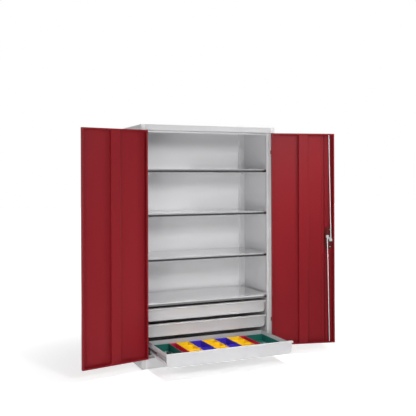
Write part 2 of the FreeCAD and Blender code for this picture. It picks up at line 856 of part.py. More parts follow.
def make_rod_guides():
    """Blocks behind the door's top and bottom folds that the rods slide through."""
    half = size("guide_width") / 2
    inner = inner_face - thickness
    high = door_top - thickness
    low = door_bottom + thickness
    spans = {"upper_rod_guide": (high - size("guide_height"), high),
             "lower_rod_guide": (low, low + size("guide_height"))}
    for label, span in spans.items():
        block = middle_box(f"{label}_block", -lock_place, half, (outer_face + thickness, inner), span)
        hole = cylinder(f"{label}_hole", size("rod_radius") + size("guide_play"), size("guide_height"),
                        -lock_place, rod_line, span[0])
        node(swing(cut(label, block, hole), True), label)


# Drawers
def front_top(drawer):
    return top_front_top - drawer_pitch * DRAWERS.index(drawer)


def runner_level(drawer):
    """Height of the middle of a drawer's runners."""
    return tray_bottom(drawer) + tray_height / 2


def pull(drawer):
    """How far a drawer stands out."""
    return open_pull if drawer == DRAWERS[-1] else as_size(0)


def channel(web, reach, height, opens_in, middle):
    """Outline of a left runner member: a channel on its side, its web at a distance from the middle."""
    half = height / 2
    if opens_in:
        start = (reach - web, middle + half)
        moves = [("left", reach), ("down", height), ("right", reach)]
    else:
        start = (-web - reach, middle - half)
        moves = [("right", reach), ("up", height), ("left", reach)]
    return folded(start, moves, size("runner_thickness"))


def beam(web, reach, rear_reach, height, middle):
    """Outline of a left runner member whose flanges stand out to both sides of its web."""
    metal = size("runner_thickness")
    high = height / 2
    under = high - metal
    inner = reach - web
    outer = -web - rear_reach
    upper = [(metal - web, under), (inner, under), (inner, high), (outer, high), (outer, under), (-web, under)]
    lower = [(across, -rise) for across, rise in reversed(upper)]
    return [(across, middle + rise) for across, rise in upper + lower]


def runner_pair(name, corners, out):
    """The left and the right member of one drawer, moved out by a size."""
    members = []
    for outline in (corners, mirrored(corners)):
        body = new_body(name)
        pad(body, "XZ_Plane", [outline], runner_length)
        members.append(move(body, 0, drawer_rear - out, 0))
    return members


def make_runners():
    """Outer members on the panels, middle members, and inner members on the trays, nested in each other."""
    gap = size("runner_thickness") + size("runner_play")
    outer_height = size("runner_height")
    middle_height = outer_height - gap * 2
    inner_height = middle_height - gap * 2
    inner_tip = tray_half + size("inner_runner_reach")
    middle_web = inner_tip + size("runner_play") + size("runner_thickness")
    outer_reach = size("runner_space") - size("outer_runner_gap")
    middle_reach = size("middle_runner_reach")
    inner_reach = size("inner_runner_reach")
    middle_back = size("middle_runner_back")
    outer_members = []
    for drawer in DRAWERS:
        out = pull(drawer)
        level = runner_level(drawer)
        outer = channel(panel_half, outer_reach, outer_height, True, level)
        middle = beam(middle_web, middle_reach, middle_back, middle_height, level)
        inner = channel(tray_half, inner_reach, inner_height, False, level)
        outer_members += runner_pair("outer_runner", outer, as_size(0))
        node(group("middle_pair", runner_pair("middle_runner", middle, out / 2)), f"{drawer}_middle_runners")
        node(group("inner_pair", runner_pair("inner_runner", inner, out)), f"{drawer}_inner_runners")
    node(group("outer_runners", outer_members), "outer_runners")


def tray_bottom(drawer):
    return front_top(drawer) - size("front_height") + size("tray_rise")


def make_tray(drawer):
    label = f"{drawer}_tray"
    bottom = tray_bottom(drawer)
    tray = open_box(label, (-tray_half, tray_half), (tray_front - pull(drawer), drawer_rear - pull(drawer)),
                    (bottom, bottom + tray_height), thickness)
    node(tray, label)


def make_drawer_front(drawer):
    """One folded sheet: grip lip, face and bottom fold, with the lower corners cut off."""
    label = f"{drawer}_front"
    body = new_body(label)
    face = drawer_face - pull(drawer)
    top = front_top(drawer)
    bottom = top - size("front_height")
    half = panel_half - size("front_side_gap")
    lip = [("left", size("lip_back") + size("lip_depth")), ("down", size("lip_height")),
           ("right", size("lip_depth"))]
    skirt = [("down", size("front_height") - size("lip_height")), ("right", size("front_fold"))]
    start = (face + size("lip_back"), top)
    pad(body, "YZ_Plane", [folded(start, lip + skirt, thickness)], half * 2, -half)
    wide = half + size("lip_overhang")
    pad(body, "YZ_Plane", [folded(start, lip, thickness)], wide * 2, -wide)
    sketch = new_sketch(body, "XZ_Plane", thickness - face)
    inner = half - size("corner_cut_width")
    corner = [(half, bottom), (half, bottom + size("corner_cut_height")), (inner, bottom)]
    draw_outline(sketch, corner)
    draw_outline(sketch, mirrored(corner))
    pocket(body, sketch, size("front_fold") + thickness * 2)
    node(body, label)


def make_bins():
    """Open insert bins that fill the pulled-out drawer, joined by colour."""
    drawer = DRAWERS[-1]
    module = (tray_half - thickness - size("bin_side_gap")) * 2 / len(BIN_ROW)
    low = tray_front - pull(drawer) + thickness + size("bin_gap")
    depth = drawer_rear - tray_front - thickness * 2 - size("bin_gap") - size("bin_rear_gap")
    bottom = tray_bottom(drawer) + thickness
    level = (bottom, bottom + size("bin_height"))
    half_gap = size("bin_gap") / 2
    bins = {}
    passed = 0
    for colour, strip in itertools.groupby(BIN_ROW):
        modules = len(list(strip))
        left = module * (passed - len(BIN_ROW) / 2)
        across = (left + half_gap, left + module * modules - half_gap)
        length = depth / len(BIN_STRIPS[colour])
        for index, place in enumerate(BIN_STRIPS[colour]):
            along = (low + length * index + half_gap, low + length * (index + 1) - half_gap)
            piece = open_box(f"{colour}_{place}_bin", across, along, level, size("bin_wall"))
            bins.setdefault(colour, []).append(piece)
        passed += modules
    for colour, pieces in bins.items():
        node(group(f"{colour}_group", pieces), f"{colour}_bins")


def check_and_write():
    """Stops on any failed object or bad shape, then writes one file per node."""
    document.recompute()
    failed = [item.Label for item in document.Objects if {"Invalid", "Error"} & set(item.State)]
    bad = [item.Label for item in nodes if item.Shape.isNull() or not item.Shape.isValid()]
    if failed or bad:
        raise RuntimeError(f"failed objects {failed}, bad shapes {bad}")
    os.makedirs("parts", exist_ok=True)
    for item in nodes:
        item.Shape.exportStep(f"parts/{item.Label}.step")


make_side_wall("left_side_wall", right=False)
make_side_wall("right_side_wall", right=True)
make_back_panel()
make_roof()
make_roof_fascia()
make_plinth()
make_floor_plate()
make_rails()
for shelf_label in SHELVES:
    make_shelf(shelf_label)
make_shelf_clips()
make_runner_panels()
make_fixed_hinges()
for door_side, is_right in (("left", False), ("right", True)):
    make_door_panel(f"{door_side}_door_panel", is_right)
    make_stiffener(f"{door_side}_door_stiffener", is_right)
    make_door_knuckles(f"{door_side}_door_knuckles", is_right)
make_lock_strip()
make_handle_cup()
make_door_handle()
make_lock_cam()
make_rod("upper_rod", upper=True)
make_rod("lower_rod", upper=False)
make_rod_guides()
make_runners()
for drawer_label in DRAWERS:
    make_tray(drawer_label)
    make_drawer_front(drawer_label)
make_bins()
check_and_write()
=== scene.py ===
import json
import math
import random

import bmesh
import bpy
from bpy.props import FloatProperty, FloatVectorProperty, PointerProperty
from mathutils import Matrix, Vector


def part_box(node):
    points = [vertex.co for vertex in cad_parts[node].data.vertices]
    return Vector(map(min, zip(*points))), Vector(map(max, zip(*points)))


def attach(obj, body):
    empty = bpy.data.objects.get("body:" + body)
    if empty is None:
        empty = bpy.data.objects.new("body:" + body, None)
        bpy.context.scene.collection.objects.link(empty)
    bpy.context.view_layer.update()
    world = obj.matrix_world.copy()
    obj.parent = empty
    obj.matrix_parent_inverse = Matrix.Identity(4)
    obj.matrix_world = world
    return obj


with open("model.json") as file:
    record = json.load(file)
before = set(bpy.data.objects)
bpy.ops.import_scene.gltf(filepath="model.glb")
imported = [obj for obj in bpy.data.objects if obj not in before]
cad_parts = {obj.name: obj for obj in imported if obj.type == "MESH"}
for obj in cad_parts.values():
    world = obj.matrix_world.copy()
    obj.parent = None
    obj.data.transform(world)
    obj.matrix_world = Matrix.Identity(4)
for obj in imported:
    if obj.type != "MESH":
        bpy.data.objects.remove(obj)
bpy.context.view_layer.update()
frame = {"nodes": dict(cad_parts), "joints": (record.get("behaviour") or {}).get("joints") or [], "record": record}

bl_info = {
    "name": "Steel cabinet",
    "version": (1, 0, 0),
    "blender": (4, 5, 0),
    "location": "View3D > Sidebar > Cabinet",
    "description": "Finishes, fittings and studio stage for a two-door steel cabinet with drawers",
    "category": "Object",
}


def colour_property(name, description, default):
    return FloatVectorProperty(name=name, description=description, default=default, subtype="COLOR",
                               size=3, min=0, max=1)


def length_property(name, description, default):
    return FloatProperty(name=name, description=description, default=default, min=0, unit="LENGTH")


def power_property(name, description, default):
    return FloatProperty(name=name, description=description, default=default, min=0, unit="POWER")


def place_property(name, description, default):
    return FloatVectorProperty(name=name, description=description, default=default,
                               subtype="TRANSLATION", unit="LENGTH")


class CabinetFinishes(bpy.types.PropertyGroup):
    """Colours of the cabinet's finishes, among them painted shade on the shelves' front folds and lighter greys
    that paint light onto the walls, roof, back panel, rear rails and plinth.
    """

    body_grey: colour_property("Body grey", "Powder coat of the carcass and drawers", (0.49, 0.49, 0.50))
    # Painted light: the side walls and roof take this lighter grey than the body grey, standing in for the
    # brighter light on them
    wall_grey_painted_light: colour_property("Wall grey", "Powder coat of the side walls and roof", (0.63, 0.63, 0.64))
    # Painted light: the back panel, its rails and the plinth take this lighter grey than the body grey, standing
    # in for the brighter light on them
    back_grey_painted_light: colour_property("Back grey", "Lighter coat of the back panel, its rails and the plinth",
                               (0.80, 0.80, 0.81))
    door_red: colour_property("Door red", "Powder coat of the doors", (0.19, 0.0065, 0.011))
    shelf: colour_property("Shelf", "Galvanised shelves", (0.74, 0.74, 0.75))
    # Painted shade: the shelves' front folds are the same zinc as the shelves, and these dark colours stand in for
    # the shade on them, lighter on the fold over the drawers
    painted_shelf_fold_shade: colour_property("Shelf edge", "Front fold of the shelves, which looks darker",
                                (0.035, 0.035, 0.038))
    painted_top_fold_shade: colour_property("Drawer shelf edge", "Front fold of the shelf over the drawers",
                                    (0.13, 0.13, 0.135))
    zinc: colour_property("Zinc", "Galvanised runners, clips and hinge pins", (0.50, 0.51, 0.53))
    rod_steel: colour_property("Rod steel", "Plated rods and cam", (0.42, 0.42, 0.43))
    nickel: colour_property("Nickel", "Plated key plug and bright fasteners", (0.65, 0.64, 0.60))
    black: colour_property("Black", "Moulded handle, buffers and plugs", (0.02, 0.02, 0.021))
    brass: colour_property("Brass", "Yellow passivated fasteners in the bins", (0.46, 0.30, 0.09))
    cup: colour_property("Cup", "Moulded cup behind the handle", (0.075, 0.005, 0.004))
    green: colour_property("Green", "Wide insert bins", (0.009, 0.125, 0.10))
    crimson: colour_property("Crimson", "Narrow insert bins", (0.50, 0.012, 0.055))
    yellow: colour_property("Yellow", "Middle insert bins", (0.80, 0.53, 0.010))
    blue: colour_property("Blue", "Middle insert bins", (0.050, 0.026, 0.44))


class CabinetStage(bpy.types.PropertyGroup):
    """Camera and lights."""

    camera_place: place_property("Camera place", "Where the camera stands", (-2.2516, -5.1865, 1.5133))
    camera_heading: FloatProperty(name="Heading", description="Turn of the camera to the right",
                                  default=math.radians(23.3), subtype="ANGLE")
    camera_roll: FloatProperty(name="Roll", description="Tilt of the camera about its view",
                               default=math.radians(0.2), subtype="ANGLE")
    lens: FloatProperty(name="Lens", description="Focal length on a 36 mm sensor", default=58.97,
                        unit="CAMERA")
    shift_down: FloatProperty(name="Shift down", default=0.07,
                              description="Part of the frame that the view is lowered by")
    key_power: power_property("Key light", "Power of the small lamp in front", 78)
    key_place: place_property("Key place", "Where the small lamp in front hangs", (0.4, -4.4, 2.6))
    fill_power: power_property("Fill light", "Power of the broad low lamp at the front left", 62)
    fill_place: place_property("Fill place", "Where the broad low lamp stands", (-2.8, -2.9, 0.7))
    left_power: power_property("Left light", "Power of the lamp at the left", 30)
    left_place: place_property("Left place", "Where the lamp at the left stands", (-4.5, -1.5, 1.4))
    right_power: power_property("Right light", "Power of the lamp at the right", 120)
    right_place: place_property("Right place", "Where the lamp at the right stands", (4.6, -1.15, 0.7))
    upper_power: power_property("Upper light", "Power of the lamp high at the right", 3.2)
    upper_place: place_property("Upper place", "Where the lamp high at the right is", (2.4, -2.1, 2.7))
    over_power: power_property("Drawer light", "Power of the lamp over the open drawer", 8)
    over_place: place_property("Drawer light place", "Where the lamp over the open drawer hangs",
                               (0.05, -0.75, 3.4))
    rear_power: power_property("Rear light", "Power of the lamp behind the cabinet", 55)
    rear_place: place_property("Rear place", "Where the lamp behind the cabinet hangs", (-0.8, 4.2, 3.4))
    sky: FloatProperty(name="Sky", description="Strength of the plain surrounding light", default=0.13)


class CabinetFittings(bpy.types.PropertyGroup):
    """Sizes of the small fittings and of the loose parts in the bins."""

    stop_length: length_property("Stop length", "Buffer at the end of a runner", 0.010)
    stop_height: length_property("Stop height", "Buffer at the end of a runner", 0.008)
    cage_length: length_property("Cage length", "Ball cage on a middle runner", 0.210)
    cage_height: length_property("Cage height", "Ball cage on a middle runner", 0.018)
    weld_radius: length_property("Weld radius", "Spot weld on a door stiffener", 0.0035)
    weld_pitch: length_property("Weld pitch", "Distance between spot welds", 0.115)
    bolt_length: length_property("Bolt length", "Loose bolts in the bins", 0.040)
    washer_radius: length_property("Washer radius", "Loose washers in the bins", 0.012)
    plug_length: length_property("Plug length", "Loose wall plugs in the bins", 0.040)


# Materials: scales are features per metre, and shares say how far patches change the roughness
NOISE_MIDDLE = 0.5
PAINT_DRIFT_SCALE = 2.3
PAINT_GLOSS_SCALE = 14
PAINT_GLOSS_SHARE = 0.16
PAINT_PEEL_SCALE = 620
FLAKE_SCALE = 70
FLAKE_DRIFT_SCALE = 5
FLAKE_GLOSS_SHARE = 0.7
FLAKE_PIT_SCALE = 240
PLASTIC_DRIFT_SCALE = 9
PLASTIC_SCUFF_SCALE = 55
PLASTIC_SCUFF_SHARE = 0.2
PLASTIC_GRAIN_SCALE = 1400
RELIEF_DEPTH = 0.0006
SHEET_BEND = 0.003
BEND_SAMPLES = 6
# Painted shade on a shelf's front fold: its depth, the height of its upper bend, and how far that bend is darkened
FOLD_DEPTH = 0.0008
FOLD_BEND = 0.010
BEND_SHADE = 0.5
SHELVES = ("shelf_1", "shelf_2", "shelf_3", "shelf_4")
TOP_SHELF = "shelf_4"
SURFACE_INPUTS = (
    ("Vector", "NodeSocketVector"),
    ("Colour", "NodeSocketColor"),
    ("Spread", "NodeSocketFloat"),
    ("Roughness", "NodeSocketFloat"),
)
SURFACE_OUTPUTS = (
    ("Colour", "NodeSocketColor"),
    ("Roughness", "NodeSocketFloat"),
    ("Height", "NodeSocketFloat"),
)
# Finishes that differ from a piece's slot in the record
OWN_FINISHES = {
    # Painted light: the back panel and rear rails take the lighter back grey
    "back_panel": "back_grey_painted_light",
    "left_rear_rail": "back_grey_painted_light",
    "right_rear_rail": "back_grey_painted_light",
    # Painted light: the side walls and roof take the lighter wall grey
    "left_side_wall": "wall_grey_painted_light",
    "right_side_wall": "wall_grey_painted_light",
    "roof": "wall_grey_painted_light",
    # Painted light: the plinth takes the lighter back grey, standing in for the brighter light on it
    "plinth": "back_grey_painted_light",
    **{shelf: shelf for shelf in SHELVES},
}
materials = {}


def new_group(name):
    """An empty surface group with its named sockets, and its inner ends."""
    group = bpy.data.node_groups.new(name, "ShaderNodeTree")
    for label, kind in SURFACE_INPUTS:
        group.interface.new_socket(name=label, in_out="INPUT", socket_type=kind)
    for label, kind in SURFACE_OUTPUTS:
        group.interface.new_socket(name=label, in_out="OUTPUT", socket_type=kind)
    return group, group.nodes.new("NodeGroupInput"), group.nodes.new("NodeGroupOutput")


def add_noise(tree, vector, scale, detail):
    noise = tree.nodes.new("ShaderNodeTexNoise")
    noise.inputs["Scale"].default_value = scale
    noise.inputs["Detail"].default_value = detail
    tree.links.new(vector, noise.inputs["Vector"])
    return noise.outputs["Fac"]


def add_math(tree, operation, first, second):
    """A math node on sockets or plain numbers."""
    node = tree.nodes.new("ShaderNodeMath")
    node.operation = operation
    for socket, value in zip(node.inputs, (first, second)):
        if isinstance(value, (int, float)):
            socket.default_value = value
        else:
            tree.links.new(value, socket)
    return node.outputs["Value"]


def add_patches(tree, vector, scale, detail):
    """Noise about zero."""
    return add_math(tree, "SUBTRACT", add_noise(tree, vector, scale, detail), NOISE_MIDDLE)


def link_colour(group, start, end, drift):
    """Feeds the colour out, lighter or darker by the drift times the spread, and gives that change."""
    change = add_math(group, "MULTIPLY", drift, start.outputs["Spread"])
    scaled = group.nodes.new("ShaderNodeVectorMath")
    scaled.operation = "SCALE"
    group.links.new(start.outputs["Colour"], scaled.inputs[0])
    group.links.new(add_math(group, "ADD", change, 1), scaled.inputs["Scale"])
    group.links.new(scaled.outputs["Vector"], end.inputs["Colour"])
    return change


def link_roughness(group, start, end, patches, share):
    """Feeds the roughness out, changed by a share of the patches."""
    change = add_math(group, "MULTIPLY", patches, share)
    rough = add_math(group, "ADD", change, start.outputs["Roughness"])
    group.links.new(rough, end.inputs["Roughness"])


def make_paint_group():
    """Powder coat: slow drifts of tone, patches of gloss and a fine peel."""
    group, start, end = new_group("powder_coat_film")
    vector = start.outputs["Vector"]
    link_colour(group, start, end, add_patches(group, vector, PAINT_DRIFT_SCALE, detail=3))
    gloss = add_patches(group, vector, PAINT_GLOSS_SCALE, detail=4)
    link_roughness(group, start, end, gloss, PAINT_GLOSS_SHARE)
    group.links.new(add_noise(group, vector, PAINT_PEEL_SCALE, detail=2), end.inputs["Height"])
    return group


def make_zinc_group():
    """Galvanised sheet: flakes of different grey over slow drifts of tone, and fine pits."""
    group, start, end = new_group("galvanised_flakes")
    vector = start.outputs["Vector"]
    flakes = group.nodes.new("ShaderNodeTexVoronoi")
    flakes.inputs["Scale"].default_value = FLAKE_SCALE
    group.links.new(vector, flakes.inputs["Vector"])
    tone = group.nodes.new("ShaderNodeSeparateColor")
    group.links.new(flakes.outputs["Color"], tone.inputs["Color"])
    flake = add_math(group, "SUBTRACT", tone.outputs["Red"], NOISE_MIDDLE)
    both = add_math(group, "ADD", flake, add_patches(group, vector, FLAKE_DRIFT_SCALE, detail=4))
    change = link_colour(group, start, end, both)
    link_roughness(group, start, end, change, FLAKE_GLOSS_SHARE)
    group.links.new(add_noise(group, vector, FLAKE_PIT_SCALE, detail=3), end.inputs["Height"])
    return group


def make_moulded_group():
    """Moulded plastic: an even colour with a fine spark-eroded grain."""
    group, start, end = new_group("moulded_grain")
    vector = start.outputs["Vector"]
    link_colour(group, start, end, add_patches(group, vector, PLASTIC_DRIFT_SCALE, detail=2))
    scuff = add_patches(group, vector, PLASTIC_SCUFF_SCALE, detail=5)
    link_roughness(group, start, end, scuff, PLASTIC_SCUFF_SHARE)
    group.links.new(add_noise(group, vector, PLASTIC_GRAIN_SCALE, detail=1), end.inputs["Height"])
    return group


def make_material(name, group, colour, spread, roughness, bump, metallic=0.0, specular=0.5, bend=0.0):
    """A finish: a shared surface group feeding a Principled shader, with folds rounded to a radius."""
    material = bpy.data.materials.new(name)
    material.use_nodes = True
    tree = material.node_tree
    shader = tree.nodes["Principled BSDF"]
    shader.inputs["Metallic"].default_value = metallic
    shader.inputs["Specular IOR Level"].default_value = specular
    place = tree.nodes.new("ShaderNodeTexCoord")
    surface = tree.nodes.new("ShaderNodeGroup")
    surface.node_tree = group
    surface.inputs["Colour"].default_value = (*colour, 1)
    surface.inputs["Spread"].default_value = spread
    surface.inputs["Roughness"].default_value = roughness
    relief = tree.nodes.new("ShaderNodeBump")
    relief.inputs["Strength"].default_value = bump
    relief.inputs["Distance"].default_value = RELIEF_DEPTH
    tree.links.new(place.outputs["Object"], surface.inputs["Vector"])
    tree.links.new(surface.outputs["Colour"], shader.inputs["Base Color"])
    tree.links.new(surface.outputs["Roughness"], shader.inputs["Roughness"])
    tree.links.new(surface.outputs["Height"], relief.inputs["Height"])
    tree.links.new(relief.outputs["Normal"], shader.inputs["Normal"])
    if bend:
        fold = tree.nodes.new("ShaderNodeBevel")
        fold.samples = BEND_SAMPLES
        fold.inputs["Radius"].default_value = bend
        tree.links.new(fold.outputs["Normal"], relief.inputs["Normal"])
    return material


def make_shelf_material_with_painted_shade(node, zinc, finishes):
    """Galvanised sheet with painted shade on its front fold, and less of it on the fold's upper bend."""
    material = make_material(f"{node}_sheet", zinc, finishes.shelf,
                             spread=0.02, roughness=0.14, bump=0.002, metallic=0.7)
    # Painted shade colour of the fold
    edge = finishes.painted_top_fold_shade if node == TOP_SHELF else finishes.painted_shelf_fold_shade
    tree = material.node_tree
    axes = tree.nodes.new("ShaderNodeSeparateXYZ")
    tree.links.new(tree.nodes["Texture Coordinate"].outputs["Object"], axes.inputs["Vector"])
    # Mask of the painted shade: the fold's front face, with only BEND_SHADE of the shade on its upper bend
    low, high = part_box(node)
    front = add_math(tree, "LESS_THAN", axes.outputs["Y"], low[1] + FOLD_DEPTH)
    below = add_math(tree, "LESS_THAN", axes.outputs["Z"], high[2] - FOLD_BEND)
    shade = add_math(tree, "ADD", add_math(tree, "MULTIPLY", below, 1 - BEND_SHADE), BEND_SHADE)
    mix = tree.nodes.new("ShaderNodeMix")
    mix.data_type = "RGBA"
    mix.inputs["A"].default_value = (*finishes.shelf, 1)
    mix.inputs["B"].default_value = (*edge, 1)
    tree.links.new(add_math(tree, "MULTIPLY", front, shade), mix.inputs["Factor"])
    tree.links.new(mix.outputs["Result"], tree.nodes["Group"].inputs["Colour"])
    return material


def make_sheet_finishes(finishes):
    """Powder coats of the sheet metal."""
    paint = make_paint_group()
    return {
        "body_grey": make_material("body_grey_coat", paint, finishes.body_grey,
                                   spread=0.07, roughness=0.42, bump=0.10, bend=SHEET_BEND),
        # Painted light: the lighter wall grey
        "wall_grey_painted_light": make_material("wall_grey_coat", paint, finishes.wall_grey_painted_light,
                                   spread=0.05, roughness=0.46, bump=0.10, bend=SHEET_BEND),
        # Painted light: the lighter back grey
        "back_grey_painted_light": make_material("back_grey_coat", paint, finishes.back_grey_painted_light,
                                   spread=0.05, roughness=0.50, bump=0.10),
        "door_red": make_material("door_red_coat", paint, finishes.door_red,
                                  spread=0.10, roughness=0.40, bump=0.08, specular=0.12, bend=SHEET_BEND),
    }


def make_metal_finishes(finishes):
    """Galvanised and plated metal."""
    zinc = make_zinc_group()
    return {
        # Shelves with painted shade on their front folds
        **{shelf: make_shelf_material_with_painted_shade(shelf, zinc, finishes) for shelf in SHELVES},
        "zinc": make_material("zinc_sheet", zinc, finishes.zinc,
                              spread=0.10, roughness=0.42, bump=0.08, metallic=0.75),
        "lock_steel": make_material("plated_rod_steel", zinc, finishes.rod_steel,
                                    spread=0.06, roughness=0.36, bump=0.05, metallic=0.9),
        "nickel": make_material("nickel_plug", zinc, finishes.nickel,
                                spread=0.03, roughness=0.2, bump=0.02, metallic=1.0),
        "brass": make_material("brass_fastener", zinc, finishes.brass,
                               spread=0.05, roughness=0.3, bump=0.03, metallic=1.0),
    }


def make_plastic_finishes(finishes):
    """Moulded plastics of the handle, its cup, the buffers and the bins."""
    moulded = make_moulded_group()
    return {
        "black_plastic": make_material("black_moulding", moulded, finishes.black,
                                       spread=0.2, roughness=0.48, bump=0.12),
        "cup_plastic": make_material("cup_moulding", moulded, finishes.cup,
                                     spread=0.2, roughness=0.42, bump=0.10, specular=0.15),
        "green_plastic": make_material("green_bin_plastic", moulded, finishes.green,
                                       spread=0.12, roughness=0.36, bump=0.06),
        "red_plastic": make_material("crimson_bin_plastic", moulded, finishes.crimson,
                                     spread=0.12, roughness=0.36, bump=0.06),
        "yellow_plastic": make_material("yellow_bin_plastic", moulded, finishes.yellow,
                                        spread=0.10, roughness=0.36, bump=0.06),
        "blue_plastic": make_material("blue_bin_plastic", moulded, finishes.blue,
                                      spread=0.12, roughness=0.36, bump=0.06),
    }


class CABINET_OT_finish_sheet_metal(bpy.types.Operator):
    """Give every CAD piece its own finish, or the one of its material slot"""

    bl_idname = "cabinet.finish_sheet_metal"
    bl_label = "Finish the cabinet's pieces"

    def execute(self, context):
        finishes = context.scene.cabinet_finishes
        materials.update(make_sheet_finishes(finishes))
        materials.update(make_metal_finishes(finishes))
        materials.update(make_plastic_finishes(finishes))
        for part in frame["record"]["subparts"]:
            data = frame["nodes"][part["node"]].data
            data.materials.clear()
            data.materials.append(materials[OWN_FINISHES.get(part["node"], part["material_slot"])])
        return {"FINISHED"}


# Small fittings and loose parts
def finish_piece(shape, name, body, finish):
    """Turns a bmesh into a piece on a body, with the record's slot where the finish has one."""
    mesh = bpy.data.meshes.new(name)
    shape.to_mesh(mesh)
    shape.free()
    mesh.materials.append(materials[finish])
    piece = bpy.data.objects.new(name, mesh)
    bpy.context.collection.objects.link(piece)
    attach(piece, body)


def add_block(shape, low, high, radius):
    """Adds a block between two corners with its edges rounded."""
    low = Vector(low)
    high = Vector(high)
    matrix = Matrix.LocRotScale((low + high) / 2, None, high - low)
    made = bmesh.ops.create_cube(shape, size=1, matrix=matrix)["verts"]
    edges = list({edge for vertex in made for edge in vertex.link_edges})
    bmesh.ops.bevel(shape, geom=edges, offset=radius, affect="EDGES", segments=2, profile=0.5,
                    material=-1)


def turned(profile, steps):
    """A shape turned about Z from points of radius and height."""
    shape = bmesh.new()
    points = [shape.verts.new((radius, 0, height)) for radius, height in profile]
    edges = [shape.edges.new(pair) for pair in zip(points, points[1:])]
    bmesh.ops.spin(shape, geom=points + edges, cent=(0, 0, 0), axis=(0, 0, 1), angle=math.tau,
                   steps=steps, use_merge=True)
    bmesh.ops.remove_doubles(shape, verts=shape.verts[:], dist=1e-6)
    bmesh.ops.recalc_face_normals(shape, faces=shape.faces[:])
    return shape


def repeated(pattern, places):
    """Copies of a small shape at the given matrices, in one bmesh with its faces outwards."""
    mesh = bpy.data.meshes.new("pattern")
    pattern.to_mesh(mesh)
    pattern.free()
    shape = bmesh.new()
    for place in places:
        known = len(shape.verts)
        shape.from_mesh(mesh)
        shape.verts.ensure_lookup_table()
        bmesh.ops.transform(shape, matrix=place, verts=shape.verts[known:])
    bmesh.ops.recalc_face_normals(shape, faces=shape.faces[:])
    bpy.data.meshes.remove(mesh)
    return shape


def door_hinges():
    """The joint of each door's hinge, with the door's side."""
    for joint in frame["joints"]:
        if joint["name"] in ("left_door_hinge", "right_door_hinge"):
            yield joint, joint["name"].split("_")[0]


# Runner ends
DRAWERS = ("drawer_1", "drawer_2", "drawer_3")
RUNNER_SHEET = 0.0015
RUNNER_BACK = 0.004
BUFFER_DEPTH = 0.0035
BUFFER_GAP = 0.0003
END_ROUNDING = 0.0008
CAGE_DEPTH = 0.0012
CAGE_ROUNDING = 0.0004
PLUG_WALL_GAP = 0.0002
PLUG_SIDE_GAP = 0.0006
PLUG_FRONT_GAP = 0.0005


class CABINET_OT_runner_ends(bpy.types.Operator):
    """Add the black buffers, end plugs and ball cages of the drawer runners"""

    bl_idname = "cabinet.runner_ends"
    bl_label = "Fit the runner ends"

    def execute(self, context):
        sizes = context.scene.cabinet_fittings
        for drawer in DRAWERS:
            add_middle_buffers(drawer, sizes)
            add_inner_plugs(drawer, sizes)
        return {"FINISHED"}


def mirrored_blocks(blocks, radius):
    """Rounded blocks on the left, given by their corners, and their mirror images on the right."""
    shape = bmesh.new()
    for low, high in blocks:
        add_block(shape, low, high, radius)
        add_block(shape, (-high[0], low[1], low[2]), (-low[0], high[1], high[2]), radius)
    return shape


def add_middle_buffers(drawer, sizes):
    """Two buffers at the front end of each middle runner, and the ball cage behind them."""
    low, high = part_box(f"{drawer}_middle_runners")
    web = low[0] + RUNNER_BACK
    middle = (low[2] + high[2]) / 2
    half = (high[2] - low[2]) / 2 - RUNNER_SHEET - BUFFER_GAP
    face = web - BUFFER_DEPTH
    end = low[1] + sizes.stop_length
    buffers = [((face, low[1], middle + half - sizes.stop_height), (web, end, middle + half)),
               ((face, low[1], middle - half), (web, end, middle - half + sizes.stop_height))]
    finish_piece(mirrored_blocks(buffers, END_ROUNDING), f"{drawer}_buffers", f"{drawer}_middle",
                 "black_plastic")
    start = low[1] + sizes.stop_length * 2
    rise = sizes.cage_height / 2
    cage = [((web - CAGE_DEPTH, start, middle - rise), (web, start + sizes.cage_length, middle + rise))]
    finish_piece(mirrored_blocks(cage, CAGE_ROUNDING), f"{drawer}_ball_cages", f"{drawer}_middle",
                 "black_plastic")


def add_inner_plugs(drawer, sizes):
    """A plug in the front end of each inner runner."""
    low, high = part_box(f"{drawer}_inner_runners")
    tray_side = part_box(f"{drawer}_tray")[0][0]
    wall = RUNNER_SHEET + PLUG_WALL_GAP
    plug = [((low[0] + PLUG_SIDE_GAP, low[1] + PLUG_FRONT_GAP, low[2] + wall),
             (tray_side - wall, low[1] + sizes.stop_length, high[2] - wall))]
    finish_piece(mirrored_blocks(plug, END_ROUNDING), f"{drawer}_end_plugs", drawer, "black_plastic")


# Lock: distances inwards along the handle's axis, then distances from that axis
CAM_FACE = 0.0233
PIN_TOP = 0.0273
CUP_FACE = 0.0198
CAM_PIN = 0.0155
CUP_SCREW_SIDE = 0.009
CUP_SCREW_HEIGHT = 0.074
# Heights of a pin's ring and of a hinge knuckle, and the gap under a hinge cap
RING_HEIGHT = 0.0004
KNUCKLE_HEIGHT = 0.032
CAP_GAP = 0.0002
# Turned outlines of the lock's and the hinges' small parts, as points of radius and height
SPINDLE_END = ((0, 0.0003), (0.0048, 0.0003), (0.005, 0.0001), (0.005, 0), (0, 0))
CAM_RING = ((0.0041, 0), (0.0062, 0), (0.0064, RING_HEIGHT / 2), (0.0062, RING_HEIGHT),
            (0.0041, RING_HEIGHT), (0.0041, 0))
SCREW_HEAD = ((0, 0.0026), (0.0022, 0.0024), (0.0036, 0.0014), (0.004, 0.0002), (0.004, 0), (0, 0))
HINGE_CAP = ((0, 0.0026), (0.0022, 0.0023), (0.0036, 0.0014), (0.0043, 0.0003), (0.0043, 0), (0, 0))


